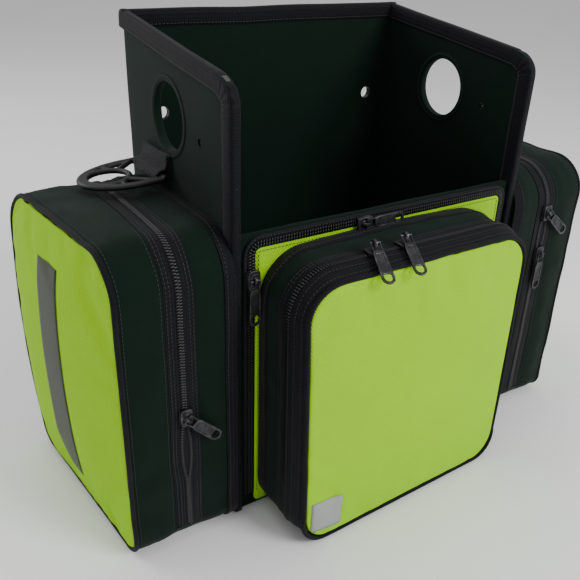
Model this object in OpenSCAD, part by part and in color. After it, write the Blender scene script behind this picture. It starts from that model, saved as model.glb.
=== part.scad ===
// Open-top carry case for a portable medical monitor. A stiffened U-shaped shell
// carries three zipped pouches and a flat zipped front pocket.
// Millimetres. +Z is up, the pouches' faces look towards -Y, the rear panel is at +Y.
// The origin is on the floor, below the middle of the whole object.

/* [Shell] */
// Width of the rear panel, outside to outside
shell_w = 280; // [240:5:320]
// Depth of the side wings
wing_d = 186; // [160:2:210]
// Height at the rear
rear_h = 377; // [340:1:400]
// Height of the wings at their front edge
front_h = 352; // [320:1:370]
// Radius of the wings' top front corners
wing_r = 16; // [14:1:30]
// Width of the folded binding tape on each face
bind_w = 12.5; // [10:0.5:16]

/* [Holes] */
// Diameter of the large access hole in each wing
big_hole_d = 52; // [40:1:60]
// Diameter of the small cord hole in each wing
small_hole_d = 6.5; // [5:0.5:9]
// Diameter of the two hanging holes in the rear panel
back_hole_d = 12; // [8:1:16]
// Distance between the two hanging holes
back_hole_pitch = 220; // [180:5:240]

/* [Front pocket] */
// Width of the flat pocket's hinged front
flap_w = 250; // [220:2:252]
// Height of the flat pocket's hinged front
flap_h = 238; // [232:1:250]
// Width of the front pocket
front_w = 226; // [200:2:232]
// Height of the front pocket
front_pocket_h = 229; // [200:1:232]
// Depth of the front pocket
front_depth = 54; // [46:1:70]
// Depth at which the front pocket's zip runs
front_zip_w = 37; // [34:1:40]
// Distance from the middle to the front pocket's middle, towards the right
front_x = -5; // [-5:1:5]

/* [Side pouches] */
// Length of each side pouch, front to rear
side_w = 178; // [150:2:184]
// Height of each side pouch
side_h = 248; // [220:1:260]
// Depth at the pouch's front edge
side_depth = 89; // [80:1:100]
// Depth at the pouch's rear edge
side_rear_depth = 103; // [90:1:110]
// Depth at which the side zips run
side_zip_w = 43; // [36:1:50]

/* [Ring] */
// Length of each carry ring from its bar
ring_l = 58; // [45:1:70]
// Width of each carry ring
ring_w = 62; // [54:1:70]

/* [Hidden] */
$fn = 48;

// Colours
green = [0.07, 0.16, 0.13];
black = [0.11, 0.11, 0.13];
yellow = [0.66, 0.86, 0.10];
grey = [0.60, 0.62, 0.60];
steel = [0.30, 0.30, 0.31];
board = [0.25, 0.25, 0.25];

// Layers of the shell, from the outside: cover, board, lining
cover_t = 1.4;
board_t = 3.4;
lining_t = 1.2;
wall_t = cover_t + board_t + lining_t;
tape_t = 1;
base_t = 2;
base_board_t = 4;
hem_w = 6;

// Pocket construction
gusset_t = 3;
face_t = 3;
piping_r = 2;
seam_t = 1.2;
zip_tape = 11;
chain_half = 3;
chain_rise = 1.5;
seam_gap = 0.5;
flap_t = 2.4;
flap_r = 8;
flap_zip_in = 3.5;
wall_tape = 6;
lift = 3;

// Sliders and pulls
plate_z = 2.6;
plate_t = 1.8;
slider_l = 15;
slider_w = 10;
pivot_z = 5.7;
high_pivot_z = 9.2;
pull_l = 36;
pull_t = 1.6;
pull_w = 10;

// Places along Y. The front pocket's pulls reach furthest forward.
pull_slope = 30;
front_reach = front_zip_w + (pull_l + pull_t) * cos(pull_slope);
flap_back = 3;
total_d = tape_t + wing_d - flap_back + front_reach;
y_rear = total_d / 2 - tape_t;
y_wing = y_rear - wing_d;
y_flap = y_wing + flap_back;
x_side = shell_w / 2;
side_y = y_wing + side_w / 2 - 4;
side_tilt = atan((side_rear_depth - side_depth) / side_w);

// Pocket records: [width, height, top radius, bottom radius, zip depth, depth, tilt, inset]
front_p = [front_w, front_pocket_h, 34, 28, front_zip_w, front_depth, 0, 6];
side_p = [side_w, side_h, 32, 14, side_zip_w, side_depth, side_tilt, 0];

// Points of an outline whose corners [x, y, radius] run anticlockwise
function arc_corner(p, q, s, n = 6) =
    let (a = [p[0] - q[0], p[1] - q[1]], b = [s[0] - q[0], s[1] - q[1]],
         ua = a / norm(a), ub = b / norm(b), half = acos(ua * ub) / 2,
         mid = (ua + ub) / norm(ua + ub), c = [q[0], q[1]] + mid * q[2] / sin(half),
         a0 = atan2(-ua[0], ua[1]), turn = 180 - 2 * half)
    q[2] <= 0 ? [[q[0], q[1]]]
    : [for (i = [0:n]) c + q[2] * [cos(a0 + 180 + turn * i / n), sin(a0 + 180 + turn * i / n)]];
function outline(k) =
    [for (i = [0:len(k) - 1])
        each arc_corner(k[(i + len(k) - 1) % len(k)], k[i], k[(i + 1) % len(k)])];
function rounded(w, h, rt, rb, inset = 0) =
    let (a = w / 2 - inset, lo = inset, hi = h - inset,
         t = max(rt - inset, 1), b = max(rb - inset, 1))
    outline([[-a, lo, b], [a, lo, b], [a, hi, t], [-a, hi, t]]);

// ---- Shell ----

// Side outline of a wing in (Y, Z), drawn in by inset along its top and front edges
module wing_outline(inset = 0, low = base_t) {
    slope = (rear_h - front_h) / wing_d;
    far = 40 * sign(max(inset, 0));
    polygon(outline([
        [y_wing + inset, low - far, 0],
        [y_rear + far, low - far, 0],
        [y_rear + far, rear_h - inset + far * slope, 0],
        [y_wing + inset, front_h - inset + inset * slope, wing_r - inset]]));
}

hole_y = y_rear - 86;
hole_z = 311;
small_y = y_rear - 139;
small_z = 304;
back_hole_z = 294;

module wing_holes() {
    translate([hole_y, hole_z]) circle(d = big_hole_d);
    translate([small_y, small_z]) circle(d = small_hole_d, $fn = 24);
}

// One layer of a wing, from depth a to depth b below its outer face, on side s
module wing_layer(s, a, b) {
    x = s > 0 ? x_side - b : -x_side + a;
    translate([x, 0, 0]) rotate([90, 0, 90]) linear_extrude(b - a)
        difference() {
            wing_outline();
            wing_holes();
        }
}

// One layer of the rear panel, from depth a to depth b below its outer face
module back_layer(a, b, w) {
    translate([0, y_rear - a, 0]) rotate([90, 0, 0]) linear_extrude(b - a)
        difference() {
            translate([-w / 2, base_t]) square([w, rear_h - base_t]);
            for (s = [-1, 1])
                translate([s * back_hole_pitch / 2, back_hole_z]) circle(d = back_hole_d);
        }
}

module shell_cover() {
    color(green) {
        back_layer(0, cover_t, shell_w);
        for (s = [-1, 1]) intersection() {
            wing_layer(s, 0, cover_t);
            translate([-shell_w, y_wing - 1, 0]) cube([2 * shell_w, wing_d + 1, 2 * rear_h]);
        }
    }
}

module shell_lining() {
    color(green) difference() {
        union() {
            back_layer(wall_t - lining_t, wall_t, shell_w - 2 * (wall_t - lining_t));
            for (s = [-1, 1]) wing_layer(s, wall_t - lining_t, wall_t);
        }
        translate([-shell_w, y_rear - wall_t + lining_t, 0])
            cube([2 * shell_w, 50, 2 * rear_h]);
    }
}

module back_board() {
    color(board) back_layer(cover_t, cover_t + board_t, shell_w - 2 * cover_t);
}

module wing_board(s) {
    color(board) difference() {
        wing_layer(s, cover_t, cover_t + board_t);
        translate([-shell_w, y_rear - cover_t - board_t, 0])
            cube([2 * shell_w, 50, 2 * rear_h]);
    }
}

// Tape folded over the shell's open edges
module shell_binding() {
    color(black) difference() {
        union() {
            for (s = [-1, 1]) translate([s * (x_side - wall_t / 2), 0, 0])
                rotate([90, 0, 90]) linear_extrude(wall_t + 2 * tape_t, center = true)
                    difference() {
                        wing_outline(-tape_t);
                        wing_outline(bind_w, base_t - 1);
                    }
            translate([-x_side - tape_t, y_rear - wall_t - tape_t, rear_h - bind_w])
                cube([shell_w + 2 * tape_t, wall_t + 2 * tape_t, bind_w + tape_t]);
        }
        for (s = [-1, 1]) translate([s * (x_side - wall_t / 2), 0, 0])
            rotate([90, 0, 90]) linear_extrude(wall_t, center = true) wing_outline();
        translate([-x_side, y_rear - wall_t, 0]) cube([shell_w, wall_t, rear_h]);
        // Each side pouch is sewn over the tape
        for (s = [0, 1]) mirror([s, 0, 0]) at_right() prism(side_p, -seam_t - 0.3, -0.5, 9);
    }
}

// Stitched ring of fabric around a wing's large hole, on the outer face
module hole_hem(s) {
    color(green) translate([s * (x_side + tape_t / 2), hole_y, hole_z]) rotate([0, 90, 0])
        difference() {
            cylinder(h = tape_t, d = big_hole_d + 2 * hem_w, center = true, $fn = 64);
            cylinder(h = 2 * tape_t, d = big_hole_d, center = true);
            // The webbing loop's sewn leg takes the hem's place here
            translate([hole_z - ring_z - web_leg, ring_y - hole_y - web_w / 2, -tape_t])
                cube([60, web_w, 2 * tape_t]);
        }
}

module base_cover() {
    color(green) translate([-x_side, y_flap + 0.5, 0])
        cube([shell_w, y_rear - y_flap - 0.5, base_t]);
}

inner_w = shell_w - 2 * (wall_t + tape_t + 0.1);
y_wall = y_flap + lining_t + board_t;

module base_board() {
    color(board) translate([-inner_w / 2, y_wall + lining_t, base_t])
        cube([inner_w, y_rear - wall_t - y_wall - lining_t - 0.05, base_board_t]);
}

wall_top = lift + flap_h + wall_tape;

module front_wall_board() {
    color(board) translate([-inner_w / 2, y_flap + lining_t, base_t])
        cube([inner_w, board_t, wall_top - base_t]);
}

// Lining of the front wall, folded over the board's top to its front
module front_wall_lining() {
    color(green) difference() {
        translate([-inner_w / 2, y_flap, base_t])
            cube([inner_w, board_t + 2 * lining_t, wall_top + lining_t - base_t]);
        translate([-inner_w, y_flap + lining_t, 0]) cube([2 * inner_w, board_t, wall_top]);
    }
}

// ---- Flat pocket behind the front pocket ----

module flap_ring(outer, inner, t) {
    translate([0, y_flap, lift]) rotate([90, 0, 0]) linear_extrude(t) difference() {
        polygon(rounded(flap_w, flap_h, flap_r, 4, outer));
        polygon(rounded(flap_w, flap_h, flap_r, 4, inner));
    }
}

// Cuts a flat pocket zip off above the fold line
module above_fold(h) {
    intersection() {
        children();
        translate([-shell_w, -300, h]) cube([2 * shell_w, 600, rear_h]);
    }
}

fold_h = 12;

module flap_panel() {
    color(yellow) translate([0, y_flap - 0.3, lift]) rotate([90, 0, 0]) linear_extrude(flap_t)
        polygon(rounded(flap_w, flap_h, flap_r, 4, flap_zip_in));
}

module flap_zip_flap_side() {
    color(black) above_fold(fold_h) translate([0, -0.3, 0]) {
        flap_ring(0.15, flap_zip_in, flap_t);
        translate([0, -flap_t, 0]) flap_ring(0.15, chain_half, chain_rise);
    }
}

module flap_zip_wall_side() {
    color(black) above_fold(fold_h) {
        flap_ring(-wall_tape, -0.15, flap_t);
        translate([0, -flap_t, 0]) flap_ring(-chain_half, -0.15, chain_rise);
    }
}

// ---- Pockets, drawn with their mounting plane at y = 0 and their face towards -Y ----

// Prism of a pocket's outline, drawn in by inset, from depth a to depth b
module prism(p, inset, a, b) {
    translate([0, -a, 0]) rotate([90, 0, 0]) linear_extrude(b - a)
        polygon(rounded(p[0], p[1], p[2], p[3], inset));
}

// Space from depth a to depth b below the pocket's slanted outer face
module under_face(p, a, b) {
    translate([-p[0] / 2, -p[5], 0]) rotate([0, 0, -p[6]])
        translate([-60, a, -20]) cube([p[0] + 120, b - a, p[1] + 60]);
}

// Wedge below the fold, from the face's lower edge back to the zip's plane
module fold_wedge(p, grow = 0) {
    reach = p[5] + p[0] * tan(p[6]) + 20;
    translate([-p[0] / 2, -p[5], 0]) rotate([0, 0, -p[6]]) rotate([90, 0, 90])
        translate([0, 0, -60]) linear_extrude(p[0] + 120)
            polygon([[-30, -20], [reach, -20], [reach, grow + reach * fold_slope], [-30, grow]]);
}

fold_slope = 0.25;

module pocket_body(p) {
    color(green) {
        difference() {
            union() {
                prism(p, 0, 0, p[4] - zip_tape);
                intersection() {
                    prism(p, 0, p[4] - zip_tape - 1, p[5] + 60);
                    under_face(p, face_t + seam_gap, 200);
                    fold_wedge(p, 0);
                }
            }
            prism(p, gusset_t, gusset_t, p[5] + 80);
        }
    }
}

module seam_binding(p, w) {
    color(black) difference() {
        prism(p, -seam_t, 0, w);
        prism(p, 0, -1, w + 1);
    }
}

// The zip tape and half chain on the body's side
module zip_body_side(p) {
    color(black) difference() {
        union() {
            prism(p, 0, p[4] - zip_tape, p[4]);
            prism(p, -chain_rise, p[4] - chain_half, p[4]);
        }
        prism(p, gusset_t, 0, p[4] + 1);
        fold_wedge(p, seam_gap);
        translate([-p[0], -p[5], -1]) cube([2 * p[0], 2 * p[5], fold_h]);
    }
}

// The straight zip tape and half chain on a side pouch's lid
module zip_lid_side(p) {
    color(black) difference() {
        union() {
            prism(p, 0, p[4] + seam_gap, p[4] + zip_tape);
            prism(p, -chain_rise, p[4] + seam_gap, p[4] + chain_half);
        }
        prism(p, gusset_t, 0, p[5]);
        fold_wedge(p, seam_gap + 1);
        translate([-p[0], -p[5], -1]) cube([2 * p[0], 2 * p[5], fold_h + 2]);
    }
}

module lid_gusset(p) {
    color(green) difference() {
        intersection() {
            prism(p, 0, p[4] + seam_gap, p[5] + 60);
            under_face(p, face_t, 200);
        }
        prism(p, gusset_t, 0, p[5] + 80);
        difference() {
            prism(p, -5, 0, p[4] + zip_tape);
            translate([-p[0], -p[5], -1]) cube([2 * p[0], 2 * p[5], fold_h + 2]);
        }
        fold_wedge(p, seam_gap + 1);
    }
}

module lid_face(p) {
    color(yellow) intersection() {
        prism(p, p[7] + piping_r, 0, p[5] + 60);
        under_face(p, 0, face_t);
    }
}

module lid_piping(p) {
    color(black) difference() {
        intersection() {
            prism(p, p[7] - 1, 0, p[5] + 60);
            under_face(p, -0.6, face_t);
        }
        prism(p, p[7] + piping_r, 0, p[5] + 80);
    }
}

// The front lid's sloping shoulder: zip tape from the full outline in to the face
module shoulder_shape(p, t) {
    hull() {
        prism(p, t, p[4] + seam_gap, p[4] + seam_gap + 3);
        prism(p, p[7] + t, p[5] - face_t - 0.1, p[5] - face_t);
    }
}

module front_zip_lid_side() {
    p = front_p;
    color(black) difference() {
        union() {
            shoulder_shape(p, 0);
            prism(p, -chain_rise, p[4] + seam_gap, p[4] + chain_half);
        }
        shoulder_shape(p, gusset_t);
        prism(p, gusset_t, 0, p[4] + 3);
        prism(p, p[7] + gusset_t, p[5] - face_t - 1, p[5]);
        fold_wedge(p, seam_gap + 1);
    }
}

// ---- Places of the three pockets ----

module at_front() {
    translate([front_x, y_flap - flap_t - 0.3, lift]) children();
}

module at_right() {
    translate([x_side + 0.01, side_y, lift]) rotate([0, 0, 90]) children();
}

module at_left() {
    mirror([1, 0, 0]) at_right() children();
}

module reflective_strip() {
    p = side_p;
    color(grey) intersection() {
        translate([-17, -p[5] - 60, 34]) cube([34, 90, 184]);
        under_face(p, -0.6, 0);
    }
}

module front_label() {
    color(grey) translate([-front_w / 2 + 16, -front_depth - 0.7, 16])
        cube([27, 0.7, 27]);
}

// ---- Sliders and pulls: +X along the zip, +Y to the fixed side, +Z away from the tape ----

bail_w = 3.6;
bail_l = 6.4;
bail_t = 1.2;
bail_top = 2.6;
lip_t = 1.2;
lip_z = 0.5;
bar_r = 0.9;
eye_l = 8;
arm_w = 1.4;

// A slider with its bail turned by swing, and its guide lip on the side of +Y or -Y
module slider(swing, pivot = pivot_z, lip = 1) {
    color(steel) {
        translate([-slider_l / 2, -slider_w / 2, plate_z]) cube([slider_l, slider_w, plate_t]);
        translate([-slider_l / 2, lip * (slider_w - lip_t) / 2 - lip_t / 2, lip_z])
            cube([slider_l, lip_t, plate_z - lip_z]);
        rotate([0, 0, swing]) difference() {
            translate([-bail_l / 2, -bail_w / 2, plate_z])
                cube([bail_l, bail_w, pivot + bail_top - plate_z]);
            translate([-bail_l / 2 + bail_t, -bail_w, plate_z + plate_t])
                cube([bail_l - 2 * bail_t, 2 * bail_w,
                    pivot + bail_top - bail_t - plate_z - plate_t]);
        }
    }
}

// A flat tab with an eye at one end, lying along +X from its pivot, tipped down by slope
module pull(swing, slope = 0, pivot = pivot_z) {
    arm_y = (pull_w - arm_w) / 2;
    tip_x = pull_l - pull_w / 2;
    color(steel) rotate([0, 0, swing]) translate([0, 0, pivot]) rotate([0, slope, 0]) {
        rotate([90, 0, 0]) cylinder(h = pull_w, r = bar_r, center = true, $fn = 20);
        for (s = [-1, 1]) translate([0, s * arm_y - arm_w / 2, -pull_t / 2])
            cube([eye_l + 1, arm_w, pull_t]);
        difference() {
            union() {
                translate([eye_l, -pull_w / 2, -pull_t / 2])
                    cube([tip_x - eye_l, pull_w, pull_t]);
                translate([tip_x, 0, -pull_t / 2]) cylinder(h = pull_t, d = pull_w, $fn = 32);
            }
            translate([tip_x, 0, -pull_t])
                cylinder(h = 2 * pull_t, d = pull_w - 4, $fn = 24);
        }
    }
}

front_a_x = -46;
front_b_x = -17;
flap_side_z = 216;
flap_top_x = -28;
left_slide_z = 121;
right_upper_z = 213;
right_lower_z = 172;
front_swing = -105;
left_swing = 135;
upper_swing = -130;
hanging = 180;

module on_front_top(x) {
    at_front() translate([x - front_x, -front_zip_w - seam_gap / 2, front_pocket_h]) children();
}

module on_flap_side() {
    translate([-flap_w / 2, y_flap - flap_t - 0.3, flap_side_z]) rotate([0, -90, 90]) children();
}

module on_flap_top() {
    translate([flap_top_x, y_flap - flap_t - 0.3, lift + flap_h]) rotate([90, 0, 0]) children();
}

module on_right(z) {
    translate([x_side + side_zip_w, side_y - side_w / 2, z]) rotate([0, -90, 90]) children();
}

module on_left(z) {
    mirror([1, 0, 0]) on_right(z) children();
}

// ---- Webbing loops and carry rings ----

ring_y = hole_y + 22;
ring_z = 266;
ring_x = x_side + 8;
ring_drop = 4;
ring_t = 5;
bar_d = 6;
web_w = 50;
web_t = 2;
web_leg = 17;
loop_gap = 0.4;

// Webbing sewn to the wing and folded around the ring's bar
module web_loop() {
    eye = bar_d / 2 + loop_gap;
    color(black) translate([0, ring_y, 0]) rotate([90, 0, 0])
        linear_extrude(web_w, center = true) difference() {
            union() {
                translate([ring_x, ring_z]) circle(r = eye + web_t);
                translate([x_side, ring_z - eye - web_t]) square([8, eye + web_t + web_leg]);
            }
            translate([ring_x, ring_z]) circle(r = eye);
            translate([x_side + 2 * web_t, ring_z + 6]) square([20, 40]);
        }
}

// A D-shaped ring with an inner ring and ribs, lying outwards from its bar
module carry_ring() {
    rim = 6;
    mid = ring_l - rim - 17;
    color(black) translate([ring_x, ring_y, ring_z]) rotate([0, ring_drop, 0]) {
        rotate([90, 0, 0]) cylinder(h = ring_w - 2, d = bar_d, center = true, $fn = 32);
        translate([0, 0, -ring_t / 2]) linear_extrude(ring_t) difference() {
            union() {
                polygon([for (a = [-90:6:90]) [14 + (ring_l - 14) * cos(a), ring_w / 2 * sin(a)]]);
                for (s = [-1, 1]) translate([0, s * (ring_w / 2 - 2.5) - 2.5]) square([15, 5]);
            }
            translate([mid, 0]) circle(d = 30);
            difference() {
                union() {
                    polygon([for (a = [-90:6:90])
                        [14 + (ring_l - 14 - rim) * cos(a), (ring_w / 2 - rim) * sin(a)]]);
                    translate([bar_d, -ring_w / 2 + 5]) square([9, ring_w - 10]);
                }
                translate([mid, 0]) circle(d = 38);
                for (s = [-1, 1]) translate([17, 19 * s]) rotate([0, 0, -48 * s])
                    square([26, 4.5], center = true);
            }
        }
    }
}

shell_cover();
shell_lining();
back_board();
wing_board(-1);  // left_wing_board
wing_board(1);  // right_wing_board
shell_binding();
hole_hem(-1);  // left_hole_hem
hole_hem(1);  // right_hole_hem
base_cover();
base_board();
front_wall_board();
front_wall_lining();
flap_panel();
flap_zip_wall_side();
flap_zip_flap_side();
at_front() pocket_body(front_p);  // front_body
at_front() seam_binding(front_p, 13);  // front_seam_binding
at_front() zip_body_side(front_p);  // front_zip_body_side
at_front() front_zip_lid_side();
at_front() lid_face(front_p);  // front_lid_face
at_front() lid_piping(front_p);  // front_piping
at_front() front_label();
at_left() pocket_body(side_p);  // left_body
at_left() seam_binding(side_p, 10);  // left_seam_binding
at_left() zip_body_side(side_p);  // left_zip_body_side
at_left() zip_lid_side(side_p);  // left_zip_lid_side
at_left() lid_gusset(side_p);  // left_lid_gusset
at_left() lid_face(side_p);  // left_lid_face
at_left() lid_piping(side_p);  // left_piping
at_left() reflective_strip();  // left_reflective_strip
at_right() pocket_body(side_p);  // right_body
at_right() seam_binding(side_p, 10);  // right_seam_binding
at_right() zip_body_side(side_p);  // right_zip_body_side
at_right() zip_lid_side(side_p);  // right_zip_lid_side
at_right() lid_gusset(side_p);  // right_lid_gusset
at_right() lid_face(side_p);  // right_lid_face
at_right() lid_piping(side_p);  // right_piping
at_right() reflective_strip();  // right_reflective_strip
on_front_top(front_a_x) slider(front_swing, high_pivot_z, -1);  // front_slider_a
on_front_top(front_b_x) slider(front_swing, high_pivot_z, -1);  // front_slider_b
on_flap_side() slider(hanging);  // flap_slider_side
on_flap_top() slider(0);  // flap_slider_top
on_left(left_slide_z) slider(left_swing);  // left_slider
on_right(right_upper_z) slider(upper_swing);  // right_slider_upper
on_right(right_lower_z) slider(hanging);  // right_slider_lower
on_front_top(front_a_x) pull(front_swing, pull_slope, high_pivot_z);  // front_pull_a
on_front_top(front_b_x) pull(front_swing, pull_slope, high_pivot_z);  // front_pull_b
on_flap_side() pull(hanging);  // flap_pull_side
on_flap_top() pull(0);  // flap_pull_top
on_left(left_slide_z) pull(left_swing);  // left_pull
on_right(right_upper_z) pull(upper_swing);  // right_pull_upper
on_right(right_lower_z) pull(hanging);  // right_pull_lower
mirror([1, 0, 0]) web_loop();  // left_web_loop
web_loop();  // right_web_loop
mirror([1, 0, 0]) carry_ring();  // left_ring
carry_ring();  // right_ring
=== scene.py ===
"""Looks of a medical monitor carry case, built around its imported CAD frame.

Lengths are in millimetres until a mesh is made. A pouch is described in its own
coordinates: u along its width, v up, w outwards from the panel that it is sewn to.
"""

import math

import bmesh
import bpy
import numpy as np
from mathutils import Matrix, Vector, noise
from mathutils.bvhtree import BVHTree


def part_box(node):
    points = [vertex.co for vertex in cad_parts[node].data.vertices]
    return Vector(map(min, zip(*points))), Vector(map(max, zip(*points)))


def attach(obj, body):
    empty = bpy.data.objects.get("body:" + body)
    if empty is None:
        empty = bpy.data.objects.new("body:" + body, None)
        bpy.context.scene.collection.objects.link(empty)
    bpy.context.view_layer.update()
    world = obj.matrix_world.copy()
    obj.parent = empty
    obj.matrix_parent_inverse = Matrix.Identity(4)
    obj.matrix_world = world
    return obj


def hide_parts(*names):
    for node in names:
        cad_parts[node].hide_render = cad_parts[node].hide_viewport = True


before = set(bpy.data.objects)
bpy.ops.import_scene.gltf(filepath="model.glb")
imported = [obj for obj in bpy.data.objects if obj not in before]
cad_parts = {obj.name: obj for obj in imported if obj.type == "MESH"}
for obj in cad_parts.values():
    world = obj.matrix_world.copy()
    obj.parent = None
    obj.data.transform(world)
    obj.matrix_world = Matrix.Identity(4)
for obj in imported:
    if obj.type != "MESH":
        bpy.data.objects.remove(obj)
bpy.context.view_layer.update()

MM = 0.001
TAU = 2 * math.pi
OUT = (0, -1, 0)
UP = (0, 0, 1)


def box_mm(node):
    """Lowest and highest corner of a CAD node, in millimetres."""
    lo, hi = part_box(node)
    return np.array(lo) / MM, np.array(hi) / MM


# ---------------------------------------------------------------- camera

CAMERA_AT = Vector((-0.3462, -0.4467, 0.4333))
CAMERA_AZIMUTH = -33.3
CAMERA_ELEVATION = 26.9
CAMERA_ROLL = 1.8
LENS = 43.3


def add_camera():
    az, el, roll = (math.radians(a) for a in (CAMERA_AZIMUTH, CAMERA_ELEVATION, CAMERA_ROLL))
    back = Vector((math.sin(az) * math.cos(el), -math.cos(az) * math.cos(el), math.sin(el)))
    right = Vector((0, 0, 1)).cross(back).normalized()
    up = back.cross(right)
    turned = right * math.cos(roll) + up * math.sin(roll)
    upright = up * math.cos(roll) - right * math.sin(roll)
    data = bpy.data.cameras.new("camera")
    data.lens = LENS
    camera = bpy.data.objects.new("camera", data)
    turn = Matrix((turned, upright, back)).transposed().to_4x4()
    camera.matrix_world = Matrix.Translation(CAMERA_AT) @ turn
    bpy.context.collection.objects.link(camera)
    bpy.context.scene.camera = camera


add_camera()


# ---------------------------------------------------------------- materials

UV_NAME = "weave"
ROUGH_SPREAD = 0.08
CLOTH_SPECULAR = 0.12


class Nodes:
    """A material's node tree, with short calls to add and join nodes."""

    def __init__(self, name):
        self.material = bpy.data.materials.new(name)
        self.material.use_nodes = True
        self.tree = self.material.node_tree
        self.shader = self.tree.nodes["Principled BSDF"]

    def add(self, kind, **inputs):
        node = self.tree.nodes.new("ShaderNode" + kind)
        for key, value in inputs.items():
            if key.startswith("_"):
                setattr(node, key[1:], value)
                continue
            socket = node.inputs[int(key[1:])] if key[0] == "i" else node.inputs[key]
            if hasattr(value, "is_output"):
                self.tree.links.new(value, socket)
            else:
                socket.default_value = value
        return node

    def math(self, op, a, b=0.0):
        return self.add("Math", _operation=op, i0=a, i1=b).outputs[0]

    def mix(self, factor, a, b):
        node = self.add("Mix", _data_type="RGBA", i0=factor, i6=a, i7=b)
        return node.outputs[2]

    def ramp(self, value, low, high):
        node = self.add("MapRange", i0=value, i1=low, i2=high, i3=0.0, i4=1.0)
        return node.outputs[0]

    def noise(self, vector, scale, detail=3.0, rough=0.55):
        node = self.add("TexNoise", Vector=vector, Scale=scale, Detail=detail, Roughness=rough)
        return node.outputs[0]

    def link(self, output, socket):
        self.tree.links.new(output, self.shader.inputs[socket])

    def bump(self, height, distance, strength=1.0, below=None):
        node = self.add("Bump", Height=height, Distance=distance, Strength=strength)
        if below is not None:
            self.tree.links.new(below, node.inputs["Normal"])
        return node.outputs[0]


def rgba(c, k=1.0):
    return (c[0] * k, c[1] * k, c[2] * k, 1.0)


def fabric(name, colour, pitch=1.1, weave="plain", rough=0.8, sheen=0.15, tone=0.25,
           depth=0.25, dust=0.0, coat=0.0):
    """A woven cloth: threads a pitch apart along the piece's own weave map, in millimetres."""
    n = Nodes(name)
    uv = n.add("UVMap", _uv_map=UV_NAME).outputs[0]
    place = n.add("TexCoord").outputs["Object"]
    split = n.add("SeparateXYZ", Vector=uv)
    x, y = split.outputs[0], split.outputs[1]
    k = TAU / (pitch * MM)
    if weave == "twill":
        wave = n.math("SINE", n.math("MULTIPLY", n.math("ADD", x, n.math("MULTIPLY", y, 0.6)), k))
        cross = n.math("SINE", n.math("MULTIPLY", n.math("SUBTRACT", x, y), k * 1.7))
        thread = n.math("ADD", wave, n.math("MULTIPLY", cross, 0.35))
    elif weave == "rib":
        wave = n.math("SINE", n.math("MULTIPLY", x, k))
        cross = n.math("SINE", n.math("MULTIPLY", y, k * 0.5))
        thread = n.math("ADD", wave, n.math("MULTIPLY", n.math("MULTIPLY", wave, cross), 0.8))
    else:
        thread = n.math("MULTIPLY", n.math("SINE", n.math("MULTIPLY", x, k)),
                        n.math("SINE", n.math("MULTIPLY", y, k)))
    fine = n.noise(place, 900.0, 2.0)
    broad = n.noise(place, 14.0, 4.0)
    level = n.math("ADD", n.math("MULTIPLY", thread, 0.5), n.math("MULTIPLY", fine, 0.9))
    shade = n.ramp(level, -0.3, 1.2)
    base = n.mix(shade, rgba(colour, 1 - tone), rgba(colour, 1 + tone))
    faded = n.mix(n.ramp(broad, 0.35, 0.75), rgba(colour, 1 - 0.5 * tone), rgba(colour, 1 + tone))
    mixed = n.mix(0.35, base, faded)
    if dust:
        speck = n.ramp(n.noise(place, 420.0, 4.0, 0.7), 0.60, 0.78)
        mixed = n.mix(n.math("MULTIPLY", speck, dust), mixed, (0.35, 0.36, 0.34, 1))
    n.link(mixed, "Base Color")
    spread = n.add("MapRange", i0=fine, i1=0.2, i2=0.8, i3=rough - ROUGH_SPREAD,
                   i4=min(rough + ROUGH_SPREAD, 1.0))
    n.link(spread.outputs[0], "Roughness")
    n.shader.inputs["Sheen Weight"].default_value = sheen
    n.shader.inputs["Sheen Roughness"].default_value = 0.4
    n.shader.inputs["Specular IOR Level"].default_value = CLOTH_SPECULAR
    if coat:
        n.shader.inputs["Coat Weight"].default_value = coat
        n.shader.inputs["Coat Roughness"].default_value = 0.45
    soft = n.bump(broad, 0.0012, 0.35)
    n.link(n.bump(level, depth * MM, 0.9, soft), "Normal")
    return n.material


def plastic(name, colour, rough=0.42, grain=0.05):
    """Moulded plastic with a fine spark-eroded grain."""
    n = Nodes(name)
    place = n.add("TexCoord").outputs["Object"]
    fine = n.noise(place, 1500.0, 2.0)
    broad = n.noise(place, 45.0, 3.0)
    n.link(n.mix(broad, rgba(colour, 0.8), rgba(colour, 1.3)), "Base Color")
    n.link(n.add("MapRange", i0=broad, i3=rough - 0.08, i4=rough + 0.12).outputs[0], "Roughness")
    n.link(n.bump(fine, grain * MM, 0.8), "Normal")
    return n.material


def metal(name, colour, rough=0.35):
    """Dark plated zinc, rubbed brighter in places."""
    n = Nodes(name)
    place = n.add("TexCoord").outputs["Object"]
    rub = n.ramp(n.noise(place, 160.0, 4.0, 0.6), 0.45, 0.75)
    n.link(n.mix(rub, rgba(colour), rgba(colour, 2.6)), "Base Color")
    n.link(n.add("MapRange", i0=rub, i3=rough + 0.1, i4=rough - 0.08).outputs[0], "Roughness")
    n.shader.inputs["Metallic"].default_value = 0.85
    n.link(n.bump(n.noise(place, 700.0, 3.0), 0.06 * MM, 0.6), "Normal")
    return n.material


GREEN = (0.0008, 0.0092, 0.0050)
BLACK = (0.0048, 0.0048, 0.0070)
YELLOW = (0.31, 0.64, 0.0)

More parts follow.
